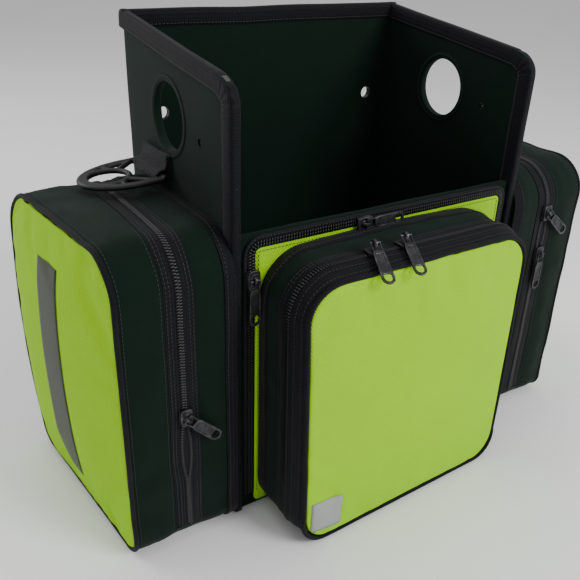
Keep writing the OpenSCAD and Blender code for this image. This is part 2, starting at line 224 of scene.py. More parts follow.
green_nylon = fabric("green_nylon", GREEN, 1.2, rough=0.72, sheen=0.05, tone=0.35, dust=0.02)
lining_nylon = fabric("lining_nylon", (0.0007, 0.0078, 0.0042), 1.2, rough=0.78, sheen=0.03,
                      tone=0.3, dust=0.015)
yellow_cloth = fabric("yellow_cloth", YELLOW, 2.0, "twill", rough=0.7, sheen=0.0, tone=0.10,
                      depth=0.22)
yellow_lining = fabric("yellow_lining", (0.32, 0.40, 0.01), 1.2, rough=0.7, tone=0.15)
black_tape = fabric("black_tape", BLACK, 1.7, "rib", rough=0.66, sheen=0.06, tone=0.4,
                    depth=0.3, dust=0.05)
zip_cloth = fabric("zip_cloth", (0.0042, 0.0042, 0.0060), 1.3, "rib", rough=0.62, sheen=0.06,
                   tone=0.35, dust=0.04)
webbing_cloth = fabric("webbing_cloth", (0.015, 0.015, 0.019), 2.4, "twill", rough=0.6,
                       sheen=0.10, tone=0.35, depth=0.5)
coil_plastic = plastic("coil_plastic", (0.0055, 0.0055, 0.0068), 0.40)
thread_plastic = plastic("thread_plastic", (0.020, 0.021, 0.023), 0.6)
green_thread = plastic("green_thread", (0.010, 0.030, 0.020), 0.65)
ring_plastic = plastic("ring_plastic", (0.0045, 0.0048, 0.0048), 0.5, 0.08)
board_plastic = plastic("board_plastic", (0.05, 0.05, 0.05), 0.6)
dark_metal = metal("dark_metal", (0.040, 0.040, 0.043))
reflective = fabric("reflective", (0.046, 0.054, 0.036), 0.9, rough=0.38, sheen=0.0, tone=0.12,
                    depth=0.08)
label_cloth = fabric("label_cloth", (0.33, 0.35, 0.34), 1.0, "rib", rough=0.40, sheen=0.1,
                     tone=0.15, depth=0.15, coat=0.2)


# ---------------------------------------------------------------- mesh helpers

def new_object(name, points, faces, material, uvs=None):
    """An object from points in millimetres. uvs has one pair, in millimetres, per face corner."""
    mesh = bpy.data.meshes.new(name)
    mesh.from_pydata([tuple(p) for p in np.asarray(points, float) * MM], [], faces)
    layer = mesh.uv_layers.new(name=UV_NAME)
    if uvs is not None:
        layer.data.foreach_set("uv", (np.asarray(uvs, np.float32) * MM).ravel())
    mesh.materials.append(material)
    obj = bpy.data.objects.new(name, mesh)
    bpy.context.collection.objects.link(obj)
    work = bmesh.new()
    work.from_mesh(mesh)
    bmesh.ops.recalc_face_normals(work, faces=work.faces)
    work.to_mesh(mesh)
    work.free()
    mesh.shade_smooth()
    return obj


def lengths(points, closed):
    """Running length along a row of points."""
    p = np.vstack([points, points[:1]]) if closed else np.asarray(points)
    return np.concatenate([[0], np.cumsum(np.linalg.norm(np.diff(p, axis=0), axis=1))])


def grid_faces(ni, nj, closed_i, closed_j, along_i, along_j, cap):
    faces, uvs = [], []
    for i in range(ni if closed_i else ni - 1):
        i2 = (i + 1) % ni
        for j in range(nj if closed_j else nj - 1):
            j2 = (j + 1) % nj
            faces.append((i * nj + j, i2 * nj + j, i2 * nj + j2, i * nj + j2))
            uvs += [(along_i[i], along_j[j]), (along_i[i + 1], along_j[j]),
                    (along_i[i + 1], along_j[j + 1]), (along_i[i], along_j[j + 1])]
    if cap:
        for i in (0, ni - 1):
            faces.append(tuple(i * nj + j for j in range(nj)))
            uvs += [(along_i[i], along_j[j]) for j in range(nj)]
    return faces, uvs


def grid_object(name, grid, material, closed_i=False, closed_j=False, cap=False):
    """An object from an array of points [i, j, xyz]; cap closes the two ends of a tube."""
    grid = np.asarray(grid, float)
    ni, nj = grid.shape[:2]
    along_i = lengths(grid[:, 0], closed_i)
    along_j = lengths(grid[0], closed_j)
    faces, uvs = grid_faces(ni, nj, closed_i, closed_j, along_i, along_j, cap)
    return new_object(name, grid.reshape(-1, 3), faces, material, uvs)


def apply_modifiers(obj):
    bpy.context.view_layer.objects.active = obj
    for mod in list(obj.modifiers):
        bpy.ops.object.modifier_apply(modifier=mod.name)
    return obj


def thicken(obj, mm, offset=-1.0):
    mod = obj.modifiers.new("thickness", "SOLIDIFY")
    mod.thickness = mm * MM
    mod.offset = offset
    mod.use_even_offset = True
    return apply_modifiers(obj)


def split_edges(obj, degrees=50):
    mod = obj.modifiers.new("split", "EDGE_SPLIT")
    mod.split_angle = math.radians(degrees)
    return apply_modifiers(obj)


def wave(p, scale, seed=0.0):
    """Smooth noise between about -1 and 1 at a point in millimetres."""
    return noise.noise(Vector((p[0] / scale + seed, p[1] / scale - seed, p[2] / scale + 2 * seed)))


def scatter(name, shape, places, material):
    """Copies of a small shape (points, faces), one per (origin, x axis, y axis, z axis)."""
    base = np.asarray(shape[0], float)
    points, faces = [], []
    for origin, x, y, z in places:
        start = len(points) * len(base)
        points.append(np.asarray(origin) + base @ np.array([x, y, z]))
        faces += [tuple(start + k for k in f) for f in shape[1]]
    return new_object(name, np.vstack(points), faces, material)


def capsule(length, radius, flat=1.0, sides=6):
    """A rounded bead lying along x."""
    stations = [(-0.5, 0.25), (-0.38, 0.8), (-0.15, 1.0), (0.15, 1.0), (0.38, 0.8), (0.5, 0.25)]
    points = [(length * x, radius * r * math.cos(TAU * k / sides),
               radius * flat * r * math.sin(TAU * k / sides))
              for x, r in stations for k in range(sides)]
    faces = [(i * sides + k, (i + 1) * sides + k, (i + 1) * sides + (k + 1) % sides,
              i * sides + (k + 1) % sides) for i in range(len(stations) - 1) for k in range(sides)]
    faces += [tuple(range(sides)), tuple((len(stations) - 1) * sides + k for k in range(sides))]
    return points, faces


def smoothed(obj):
    """One level of subdivision."""
    sub = obj.modifiers.new("smooth", "SUBSURF")
    sub.levels = sub.render_levels = 1
    return apply_modifiers(obj)


def mirrored(half):
    """An outline from its half with y above 0, walked back below it."""
    return half + [(x, -y) for x, y in reversed(half) if y]


def unit(v):
    v = np.asarray(v, float)
    return v / max(np.linalg.norm(v), 1e-9)


def walk(path, pitch, closed=False, start=0.0):
    """Points a pitch apart along a path, each with its direction and fractional index."""
    path = np.asarray(path, float)
    run = lengths(path, closed)
    if closed:
        path = np.vstack([path, path[:1]])
    out = []
    for s in np.arange(start, run[-1] - 0.3 * pitch, pitch):
        k = min(int(np.searchsorted(run, s, side="right")) - 1, len(path) - 2)
        t = (s - run[k]) / max(run[k + 1] - run[k], 1e-9)
        out.append((path[k] * (1 - t) + path[k + 1] * t, unit(path[k + 1] - path[k]), k + t))
    return out


def stitches(name, paths, normals, material, pitch=3.4, length=2.5, radius=0.32):
    """Rows of thread stitches lying on a surface. normals is one vector per path point."""
    places = []
    for path, normal in zip(paths, normals):
        normal = np.asarray(normal, float)
        for point, along, k in walk(path, pitch):
            if normal.ndim > 1:
                i = min(int(k), len(normal) - 2)
                up = unit(normal[i] * (1 - k + i) + normal[i + 1] * (k - i))
            else:
                up = unit(normal)
            side = unit(np.cross(up, along))
            places.append((point, along, side, up))
    return scatter(name, capsule(length, radius, 0.7), places, material)


def finish_piece(obj, body, slot, *nodes):
    """Lets a piece ride on its body and hides the nodes it replaces. The slot argument is not used.
    """
    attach(obj, body)
    if nodes:
        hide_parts(*nodes)
    return obj


# ---------------------------------------------------------------- shell

COVER_LO, COVER_HI = box_mm("shell_cover")
X_SIDE, Y_REAR, Y_WING = COVER_HI[0], COVER_HI[1], COVER_LO[1]
FLOOR_Z, REAR_H = COVER_LO[2], COVER_HI[2]
WALL = 6.0
HALF_WALL = WALL / 2
BOARD_T = 3.2
FRONT_H = REAR_H - 25.0
WING_R = 16.0
WING_D = Y_REAR - Y_WING
BACK_HOLES = [(s * 110.0, 294.0, 6.0) for s in (-1, 1)]
BIG_HOLE = (Y_REAR - 86.0, 311.0, 26.0)
CORD_HOLE = (Y_REAR - 139.0, 304.0, 3.25)
FOLD_R = 5.0


def shell_shift(p, normal):
    """The slight waviness of the padded shell at a point, along the panel's normal."""
    k = 1.1 * wave(p, 85.0, 3.1) + 0.35 * wave(p, 31.0, 7.7)
    return np.asarray(p, float) + np.asarray(normal, float) * k


def wing_top(y):
    """Height of a wing's top edge, which slopes forward and rounds into the front edge."""
    d = y - Y_WING
    slope = FRONT_H + d * (REAR_H - FRONT_H) / WING_D
    if d >= WING_R:
        return slope
    return slope - WING_R + math.sqrt(max(WING_R ** 2 - (WING_R - d) ** 2, 0.0))


def spaced(lo, hi, coarse, fine_spots):
    """Values from lo to hi, closer together within each spot (centre, reach, step)."""
    out, x = [lo], lo
    while x < hi - 1e-6:
        step = min([coarse] + [s for c, reach, s in fine_spots if abs(x - c) < reach])
        x = min(x + step, hi)
        out.append(x)
    if out[-1] - out[-2] < 0.4 and len(out) > 2:
        out.pop(-2)
    return out


def shell_columns():
    """Plan points of the shell's middle line, left front to right front: (x, y, normal, panel)."""
    xs = X_SIDE - HALF_WALL
    yr = Y_REAR - HALF_WALL
    ys = spaced(Y_WING, yr - FOLD_R, 4.0, [(BIG_HOLE[0], 30, 2.2), (CORD_HOLE[0], 8, 1.1),
                                           (Y_WING, 6, 0.8), (Y_WING, 16, 1.8)])
    xb = spaced(-xs + FOLD_R, xs - FOLD_R, 4.0, [(h[0], 9, 1.3) for h in BACK_HOLES])
    columns = [(-xs, y, (-1, 0), "left") for y in ys]

    def fold(x, start):
        for k in range(1, 5):
            a = start - k * math.pi / 10
            columns.append((x + FOLD_R * math.cos(a), yr - FOLD_R + FOLD_R * math.sin(a),
                            (math.cos(a), math.sin(a)), "fold"))

    fold(-xs + FOLD_R, math.pi)
    columns += [(x, yr, (0, 1), "back") for x in xb]
    fold(xs - FOLD_R, math.pi / 2)
    columns += [(xs, y, (1, 0), "right") for y in reversed(ys)]
    return columns


def make_shell():
    columns = shell_columns()
    level = 334.0
    rows = spaced(FLOOR_Z, level, 5.0, [(BIG_HOLE[1], 30, 2.2), (CORD_HOLE[1], 8, 1.1),
                                        (BACK_HOLES[0][1], 9, 1.3)])
    above = 14
    grid = []
    for x, y, normal, panel in columns:
        top = wing_top(y) if panel in ("left", "right") else REAR_H
        zs = rows[:-1] + [level + (top - level) * k / above for k in range(above + 1)]
        grid.append([(x, y, z) for z in zs])
    grid = np.array(grid)
    run = lengths(np.array([(c[0], c[1], 0) for c in columns]), False)
    ni, nj = grid.shape[:2]
    holes = {"left": [BIG_HOLE, CORD_HOLE], "right": [BIG_HOLE, CORD_HOLE], "back": BACK_HOLES,
             "fold": []}
    plane = np.array([[c[0] if c[3] == "back" else c[1]] * nj for c in columns])
    faces, uvs, cut, kept = [], [], set(), set()
    for i in range(ni - 1):
        for j in range(nj - 1):
            corners = [(i, j), (i + 1, j), (i + 1, j + 1), (i, j + 1)]
            c = np.mean([(plane[a], grid[a][2]) for a in corners], axis=0)
            hole = next((h for h in holes[columns[i][3]]
                         if math.hypot(c[0] - h[0], c[1] - h[1]) < h[2]), None)
            if hole:
                cut.update((a, hole) for a in corners)
                continue
            kept.update(corners)
            faces.append(tuple(a * nj + b for a, b in corners))
            uvs += [(run[a], grid[a, b, 2]) for a, b in corners]
    for (i, j), (hc, hz, hr) in cut:
        if (i, j) in kept:
            along = 0 if columns[i][3] == "back" else 1
            d = np.array([grid[i, j, along] - hc, grid[i, j, 2] - hz])
            d = d / max(np.linalg.norm(d), 1e-6) * (hr - 0.3)
            grid[i, j, along], grid[i, j, 2] = hc + d[0], hz + d[1]
    for i, (x, y, normal, panel) in enumerate(columns):
        for j in range(nj):
            grid[i, j] = shell_shift(grid[i, j], (normal[0], normal[1], 0))
    for name, material, thick, slot, nodes in (
            ("shell_fabric", green_nylon, WALL, "green_nylon", ("shell_cover", "shell_lining")),
            ("shell_stiffener", board_plastic, BOARD_T, "stiffener_board",
             ("back_board", "left_wing_board", "right_wing_board"))):
        sheet = new_object(name, grid.reshape(-1, 3), faces, material, uvs)
        work = bmesh.new()
        work.from_mesh(sheet.data)
        loose = [v for v in work.verts if not v.link_faces]
        bmesh.ops.delete(work, geom=loose, context="VERTS")
        work.to_mesh(sheet.data)
        work.free()
        thicken(sheet, thick, 0.0)
        split_edges(sheet)
        finish_piece(sheet, "shell", slot, *nodes)


SEAM_IN = 10.6
SEAM_RISE = 3.95
BIND_LOOP = mirrored([(12.5, 3.0), (12.3, 3.7), (8.5, 3.95), (4.0, 4.05), (1.0, 3.9),
                      (-0.4, 3.2), (-1.1, 2.0)])
BIND_LOOP += [(11.5, -2.4), (1.0, -2.4), (1.0, 2.4), (11.5, 2.4)]


def wing_edge():
    """A wing's open edge from its front foot to the rear corner: (y, z) and the way inwards."""
    points = [(Y_WING, z, 1.0, 0.0) for z in spaced(FLOOR_Z + 0.5, FRONT_H - WING_R, 5.0, [])]
    tilt = math.atan2(REAR_H - FRONT_H, WING_D)
    for k in range(1, 10):
        a = math.pi - (math.pi / 2 - tilt) * k / 9
        points.append((Y_WING + WING_R + WING_R * math.cos(a),
                       FRONT_H - WING_R + WING_R * math.sin(a), -math.cos(a), -math.sin(a)))
    start = points[-1][0]
    for y in spaced(start, Y_REAR + 0.6, 5.0, [])[1:]:
        points.append((y, wing_top(max(y, Y_WING + WING_R)),
                       math.sin(tilt), -math.cos(tilt)))
    return points


def bind(name, frames, normal, rows, *nodes):
    """Tape folded over an edge. A frame is a point on it, the way inwards and its slack."""
    grid, lines = [], {1: [], -1: []}
    normal = np.array(normal, float)
    for base, inward, slack in frames:
        base, inward = np.array(base, float), np.array(inward, float)
        grid.append([shell_shift(base + normal * b + inward * (a + (slack(b) if a > 12 else 0)),
                                 normal) for a, b in BIND_LOOP])
        for side in (1, -1):
            lines[side].append(shell_shift(base + normal * side * SEAM_RISE + inward * SEAM_IN,
                                           normal))
    tape = grid_object(name, grid, black_tape, closed_j=True, cap=True)
    finish_piece(tape, "shell", "black_webbing", *nodes)
    rows.extend((lines[side], side * normal) for side in (1, -1))


def make_bindings():
    rows = []
    for s, name in ((-1, "left_wing_binding"), (1, "right_wing_binding")):
        frames = []
        for y, z, iny, inz in wing_edge():
            slack = 0.35 * wave((s * 200, y, z), 22.0)
            frames.append(((s * (X_SIDE - HALF_WALL), y, z), (0, iny, inz),
                           lambda b, slack=slack: slack))
        bind(name, frames, (s, 0, 0), rows, *(["shell_binding"] if s < 0 else []))
    frames = []
    for x in spaced(-X_SIDE - 0.2, X_SIDE + 0.2, 5.0, []):
        dip = 0.7 * wave((x, 0, 0), 60.0, 5.0)
        frames.append(((x, Y_REAR - HALF_WALL, REAR_H + dip), (0, 0, -1),
                       lambda b, x=x: -0.35 * wave((x, b, 9), 22.0)))
    bind("rear_binding", frames, (0, 1, 0), rows)
    sewn = stitches("binding_stitches", [row for row, _ in rows], [up for _, up in rows],
                    thread_plastic)
    finish_piece(sewn, "shell", "black_webbing")


HEM_SEAM_R = 29.4


def make_hems():
    loop = [(31.0, 3.0), (30.6, 3.4), (28.6, 3.6), (27.0, 3.5), (25.8, 2.8), (25.3, 1.0),
            (25.3, -1.0), (25.8, -2.8), (27.0, -3.4), (28.6, -3.5), (30.6, -3.3), (31.0, -3.0),
            (30.0, -2.4), (30.0, 2.4)]
    for s, name in ((-1, "left"), (1, "right")):
        grid, rows = [], {3.6: [], -3.5: []}
        for k in range(72):
            a = TAU * k / 72

            def at(r, b):
                p = (s * (X_SIDE - HALF_WALL + b), BIG_HOLE[0] + r * math.cos(a),
                     BIG_HOLE[1] + r * math.sin(a))
                return shell_shift(p, (s, 0, 0))

            ripple = 0.12 * math.sin(k * 2.3)
            grid.append([at(r, b + (ripple if b > 3.5 else 0)) for r, b in loop])
            for b, row in rows.items():
                row.append(at(HEM_SEAM_R, b))
        hem = grid_object(name + "_hem", grid, green_nylon, closed_i=True, closed_j=True)
        finish_piece(hem, "shell", "green_nylon", name + "_hole_hem")
        sewn = stitches(name + "_hem_stitches", [row + row[:1] for row in rows.values()],
                        [(s * math.copysign(1, b), 0, 0) for b in rows], green_thread,
                        3.0, 2.1, 0.3)
        finish_piece(sewn, "shell", "green_nylon")


def make_front_wall():
    lo, hi = box_mm("front_wall_lining")
    t = 1.2
    loop = [(lo[1], lo[2] + 0.5), (lo[1], hi[2] - 2.2), (lo[1] + 0.5, hi[2] - 0.6),
            (lo[1] + 1.8, hi[2]), (hi[1] - 1.8, hi[2]), (hi[1] - 0.5, hi[2] - 0.6),
            (hi[1], hi[2] - 2.2), (hi[1], lo[2] + 0.5), (hi[1] - t, lo[2] + 0.5),
            (hi[1] - t, hi[2] - 2.8), (lo[1] + t, hi[2] - 2.8), (lo[1] + t, lo[2] + 0.5)]
    grid = []
    for x in spaced(lo[0], hi[0], 6.0, []):
        ring = []
        for k, (y, z) in enumerate(loop):
            soft = 0.5 * wave((x, y, z), 40.0, 2.0) if k in (6, 7) else 0.0
            ring.append((x, y + soft, z + 0.5 * wave((x, 0, 0), 50.0) * (z > 200)))
        grid.append(ring)
    wall = grid_object("front_wall_fabric", grid, lining_nylon, closed_j=True, cap=True)
    split_edges(wall)
    finish_piece(wall, "shell", "green_nylon", "front_wall_lining")


SLAB_STEP = 8.0


def rounded_slab(name, lo, hi, material, bevel, bump_mm, seed=0.0):
    """A flat cloth-covered panel with rounded edges and a slightly uneven top."""
    work = bmesh.new()
    bmesh.ops.create_cube(work, size=1.0)
    for v in work.verts:
        v.co = Vector([(l + h) / 2 + c * (h - l) for l, h, c in zip(lo, hi, v.co)])
    bmesh.ops.bevel(work, geom=list(work.edges), offset=bevel, segments=2, affect="EDGES")
    for axis in (0, 1):
        for x in np.arange(lo[axis] + SLAB_STEP, hi[axis] - SLAB_STEP / 2, SLAB_STEP):
            normal = Vector((1, 0, 0)) if axis == 0 else Vector((0, 1, 0))
            geom = list(work.verts) + list(work.edges) + list(work.faces)
            bmesh.ops.bisect_plane(work, geom=geom, plane_co=normal * x, plane_no=normal)
    mid = (lo[2] + hi[2]) / 2
    for v in work.verts:
        inside = min(v.co.x - lo[0], hi[0] - v.co.x, v.co.y - lo[1], hi[1] - v.co.y)
        if inside > 2 and v.co.z > mid:
            v.co.z += bump_mm * wave(v.co, 35.0, seed)
    layer = work.loops.layers.uv.new(UV_NAME)
    for face in work.faces:
        for corner in face.loops:
            corner[layer].uv = (corner.vert.co.x * MM, corner.vert.co.y * MM)
        face.smooth = True
    for v in work.verts:
        v.co *= MM
    mesh = bpy.data.meshes.new(name)
    work.to_mesh(mesh)
    work.free()
    mesh.materials.append(material)
    obj = bpy.data.objects.new(name, mesh)
    bpy.context.collection.objects.link(obj)
    return obj


def make_base():
    lo, hi = box_mm("base_cover")
    under = rounded_slab("base_fabric", lo, hi, green_nylon, bevel=0.7, bump_mm=0.0)
    finish_piece(under, "shell", "green_nylon", "base_cover")
    lo, hi = box_mm("base_board")
    top = rounded_slab("base_liner", (lo[0], lo[1], hi[2] - 0.2), (hi[0], hi[1], hi[2] + 1.2),
                       lining_nylon, bevel=0.5, bump_mm=0.6, seed=4.0)
    finish_piece(top, "shell", "lining")


make_shell()
make_bindings()
make_hems()
make_front_wall()
make_base()


# ---------------------------------------------------------------- pockets

FOLD_H = 12.0
LIFT = 3.0
TAPE_W = 11.0
GAP = 0.5
FACE_T = 3.0
FACE_INSET = 1.6
CLOTH_T = 2.6
FACE_CLOTH_T = 2.2
TAPE_T = 2.4
TAPE_RISE = 0.6
SIM_FRAMES = 20
STRIP_STEP = 2.6
PATH_STEP = 3.0
PIPING_R = 2.0
BEAD_PITCH = 2.3
PATCH_STEP = 5.0
FINE_STITCH = (3.2, 2.3, 0.27)
ON_BINDING, ON_TAPE, ON_CLOTH = 1.75, 0.9, 0.35


class Pocket:
    """A sewn pouch: its outline lies in (u, v), and w runs outwards from its panel."""

    def __init__(self, name, body, lid, size, radii, zip_w, depths, inset, place, crown, seed,
                 opening=None, sag=0.0):
        self.name, self.body, self.lid, self.place = name, body, lid, place
        self.w, self.h = size
        self.rt, self.rb = radii
        self.zip_w, self.depth, self.rear = zip_w, depths[0], depths[1]
        self.inset, self.crown, self.seed = inset, crown, seed
        self.opening = opening
        self.sag = sag
        self.make_outline()

    def make_outline(self):
        """Points 2 to 3 mm apart, from the middle of the foot up the right side and round."""
        a, h, rt, rb = self.w / 2, self.h, self.rt, self.rb
        points, normals = [], []
        at = (0, 0)
        for n, cu, cv, r in (((0, -1), a - rb, rb, rb), ((1, 0), a - rt, h - rt, rt),
                             ((0, 1), rt - a, h - rt, rt), ((-1, 0), rb - a, rb, rb),
                             ((0, -1), 0, 0, 0)):
            to = (cu + r * n[0], cv + r * n[1])
            count = max(int(math.dist(at, to) / 3.0), 1)
            points += [(at[0] + (to[0] - at[0]) * k / count, at[1] + (to[1] - at[1]) * k / count)
                       for k in range(count)]
            normals += [n] * count
            if not r:
                break
            count = max(int(r * math.pi / 2 / 2.2), 6)
            start = math.degrees(math.atan2(n[1], n[0]))
            turns = [math.radians(start + 90 * k / count) for k in range(count)]
            normals += [(math.cos(t), math.sin(t)) for t in turns]
            points += [(cu + r * math.cos(t), cv + r * math.sin(t)) for t in turns]
            at = (cu - r * n[1], cv + r * n[0])
        self.points, self.normals = np.array(points), np.array(normals)
        self.run = lengths(self.points, True)
        self.total = self.run[-1]
        self.closed_p = np.vstack([self.points, self.points[:1]])
        self.closed_n = np.vstack([self.normals, self.normals[:1]])

    def outline_at(self, s):
        s = s % self.total
        p = [np.interp(s, self.run, self.closed_p[:, i]) for i in (0, 1)]
        n = unit([np.interp(s, self.run, self.closed_n[:, i]) for i in (0, 1)])
        return p, n

    def height_s(self, v):
        """Distance along the outline, up its right side, to height v."""
        side = self.run[:-1] < self.total / 2 - self.w / 2 + self.rt
        side &= self.points[:, 1] > 0.01
        side &= self.points[:, 0] > 0
        return float(np.interp(v, self.points[side][:, 1], self.run[:-1][side]))

    def face_depth(self, u):
        return self.depth + (u + self.w / 2) * (self.rear - self.depth) / self.w

    def fold_v(self, w):
        return 5.0 + max(self.depth - w, 0.0) * 0.21

    def stretched(self, u, w):
        flat = self.zip_w + TAPE_W
        if w <= flat or self.rear == self.depth:
            return w
        return flat + (w - flat) * (self.face_depth(u) - flat) / (self.depth - flat)

    def narrowing(self, w, n):
        """How far the outline draws in, except below, between the zip and an inset face."""
        if not self.inset or w <= self.zip_w + 3:
            return 0.0
        t = min((w - self.zip_w - 3) / (self.depth - FACE_T - self.zip_w - 3), 1.0)
        return self.inset * (0.35 * t + 0.65 * t * t) * (1 - max(-n[1], 0.0))

    def softness(self, u, v, n, w):
        """How far the cloth stands out from its plain outline."""
        low = self.zip_w - TAPE_W
        high = self.zip_w + TAPE_W
        puff = 0.0
        if 0 < w < low:
            puff = (1.2 if self.inset else 2.2) * math.sin(math.pi * w / low) ** 0.8
        elif high < w < self.depth and not self.inset:
            puff = 2.6 * math.sin(math.pi * (w - high) / (self.depth - high)) ** 0.8
        end = min(max(w, 0) / 10, 1.0)
        k = 1.1 * wave((u, v, w * 1.4), 42.0, self.seed)
        k += 0.7 * wave((u, v, w), 19.0, self.seed + 4)
        k += 0.8 * wave((u * 0.3, v * 0.3, w * 2.2), 13.0, self.seed + 9)
        k *= 1 - 0.8 * math.exp(-((w - self.zip_w) / 8.0) ** 2)
        up = max(n[1], 0.0)
        crown = self.crown * up ** 2 * math.sin(math.pi * min(max((u / self.w) + 0.5, 0), 1))
        if self.inset:
            crown *= max(0.0, 1 - (max(w, 0.0) / (low + 3)) ** 2) ** 1.2
        else:
            crown *= 0.35 + 0.65 * math.sin(math.pi * min(max(w / self.depth, 0), 1))
        down = min(max(-n[1], 0.0), 1.0)
        return (puff + k * end) * (1 - 0.75 * down) + crown

    def parted(self, u, v, w):
        """Depth moved away from the zip's middle where the zip stands open."""
        if not self.opening or u > 10 - self.w / 2:
            return w
        lo, hi, width = self.opening
        if not lo < v < hi:
            return w
        half = width / 2 * math.sin(math.pi * (v - lo) / (hi - lo)) ** 0.7
        middle = self.zip_w + GAP / 2
        return w + math.copysign(half * math.exp(-abs(w - middle) / 9.0), w - middle)

    def at(self, s, w, rise=0.0):
        (u, v), n = self.outline_at(s)
        w = self.parted(u, v, w)
        off = rise - self.narrowing(w, n) + self.softness(u, v, n, w)
        return np.array(self.place(u + n[0] * off, v + n[1] * off, self.sagged(u, v, w)))

    def sagged(self, u, v, w):
        """Depth of the soft pouch. The front one leans out low down, the left one at its rear."""
        w = self.stretched(u, w)
        if not self.sag or w <= 0:
            return w
        low = 1 - min(max(v / self.h, 0.0), 1.0)
        if not self.inset:
            rear = min(max(u / self.w + 0.5, 0.0), 1.0) ** 1.4
            full = 0.35 + 0.65 * math.sin(math.pi * (1 - low) * 0.9 + 0.2)
            return w + self.sag * rear * full * min(w / self.depth, 1.0) ** 1.5
        left = 0.6 - 0.4 * u / (self.w / 2)
        return w + self.sag * low ** 0.8 * left * min(w / self.depth, 1.0) ** 1.5

    def outward(self):
        return unit(np.array(self.place(0, 100, 50)) - np.array(self.place(0, 100, 0)))

    def out(self, s, w):
        return unit(self.at(s, w, 1.0) - self.at(s, w, 0.0))

    def span(self, s0, s1, step=STRIP_STEP):
        return np.linspace(s0, s1, max(int((s1 - s0) / step), 2) + 1)

    def strip(self, name, material, ws, limits=None, rise=0.0, thick=2.0):
        """The wall between depths ws. limits(w) gives the stretch of outline that it covers."""
        closed = limits is None
        if closed:
            count = int(self.total / STRIP_STEP)
            rows = [[(self.total * i / count, w) for w in ws] for i in range(count)]
        else:
            ends = [limits(w) for w in ws]
            count = max(int((ends[0][1] - ends[0][0]) / STRIP_STEP), 4)
            rows = [[(a + (b - a) * i / count, w) for (a, b), w in zip(ends, ws)]
                    for i in range(count + 1)]
        rises = rise if callable(rise) else (lambda w: rise)
        grid = []
        for row in rows:
            outer = [self.at(s, w, rises(w)) for s, w in row]
            inner = [self.at(s, w, rises(w) - thick) for s, w in reversed(row)]
            grid.append(outer + inner)
        obj = grid_object(name, grid, material, closed_i=closed, closed_j=True, cap=not closed)
        return split_edges(obj)

    def above(self, v):
        s = self.height_s(v)
        return lambda w: (s, self.total - s)

    def lid_part(self, w):
        s = self.height_s(self.fold_v(w) + GAP)
        return s, self.total - s

    def bottom_part(self, w):
        s = self.height_s(FOLD_H if w < self.zip_w else self.fold_v(w))
        return self.total - s, self.total + s

    def path(self, w, limits, rise=0.0):
        a, b = limits(w) if limits else (0.0, self.total)
        ss = self.span(a, b, PATH_STEP)
        return [self.at(s, w, rise) for s in ss], [self.out(s, w) for s in ss]


def steps(lo, hi, step=4.0):
    return list(np.linspace(lo, hi, max(int(round((hi - lo) / step)), 1) + 1))


def seam_rise(w0, w1, height):
    """A soft rounded tape profile between two depths."""
    def rise(w):
        t = (w - w0) / (w1 - w0)
        return height * min(1.0, 4.0 * math.sqrt(max(t * (1 - t), 0.0)) + 0.3)
    return rise


def coil_beads(name, path, normals, start, length):
    """One side of a zip's coil: beads across the gap, a pitch apart along a path."""
    places = []
    for point, along, k in walk(path, BEAD_PITCH, start=start):
        i = min(int(k), len(normals) - 2)
        up = unit(np.asarray(normals[i]) * (1 - k + i) + np.asarray(normals[i + 1]) * (k - i))
        places.append((point, unit(np.cross(up, along)), -along, up))
    return scatter(name, capsule(length, 0.85, 0.9), places, coil_plastic)


def piping(pocket, name, w, inset):
    """A covered cord right round the edge of a face."""
    grid = []
    for s in np.linspace(0.0, pocket.total, int(pocket.total / 2.4)):
        centre = pocket.at(s, w, -inset)
        out = pocket.out(s, w)
        (u, v), _ = pocket.outline_at(s)
        fore = unit(np.array(pocket.place(u, v, 1.0)) - np.array(pocket.place(u, v, 0.0)))
        grid.append([centre + PIPING_R * (math.cos(t) * out + math.sin(t) * fore)
                     for t in np.linspace(0, TAU, 10, endpoint=False)])
    return grid_object(name, grid, black_tape, closed_i=True, closed_j=True)


def face_patch(pocket, inset):
    """Rows of (u, v) points that fill the pocket's outline, an inset inside it."""
    a, h = pocket.w / 2 - inset, pocket.h - inset
    rt, rb = max(pocket.rt - inset, 4.0), max(pocket.rb - inset, 4.0)

    def half_width(v):
        if v > h - rt:
            return a - rt + math.sqrt(max(rt ** 2 - (v - h + rt) ** 2, 0.0))
        if v < inset + rb:
            return a - rb + math.sqrt(max(rb ** 2 - (inset + rb - v) ** 2, 0.0))
        return a

    vs = [inset + rb * (1 - math.cos(t)) for t in np.linspace(0, math.pi / 2, 6)]
    vs += list(np.linspace(inset + rb, h - rt, int((h - rt - inset - rb) / PATCH_STEP)))[1:-1]
    vs += [h - rt + rt * math.sin(t) for t in np.linspace(0, math.pi / 2, 9)]
    nu = int(2 * a / PATCH_STEP)
    return np.array([[(half_width(v) * x, v) for x in np.linspace(-1, 1, nu + 1)] for v in vs])


def patch_object(pocket, name, uv, lay, material, square=False):
    """An open sheet over a face patch, facing outwards. square gives each face a square weave."""
    nv, nu = uv.shape[:2]
    grid = np.array([[lay(u, v) for u, v in row] for row in uv])
    faces, uvs = grid_faces(nv, nu, False, False, np.arange(nv + 1) * PATCH_STEP,
                            np.arange(nu + 1) * PATCH_STEP, False)
    if not square:
        uvs = uv.reshape(-1, 2)[np.array(faces).ravel()]
    obj = new_object(name, grid.reshape(-1, 3), faces, material, uvs)
    if np.dot(np.array(obj.data.polygons[0].normal), pocket.outward()) < 0:
        obj.data.flip_normals()
    return obj


def fill_panel(pocket, name, depth, thick, inset):
    """A flat panel inside the outline: the pouch's back, or the lining of its lid."""
    obj = patch_object(pocket, name, face_patch(pocket, inset),
                       lambda u, v: pocket.place(u, v, depth(u)), green_nylon, square=True)
    return thicken(obj, thick, 1.0)


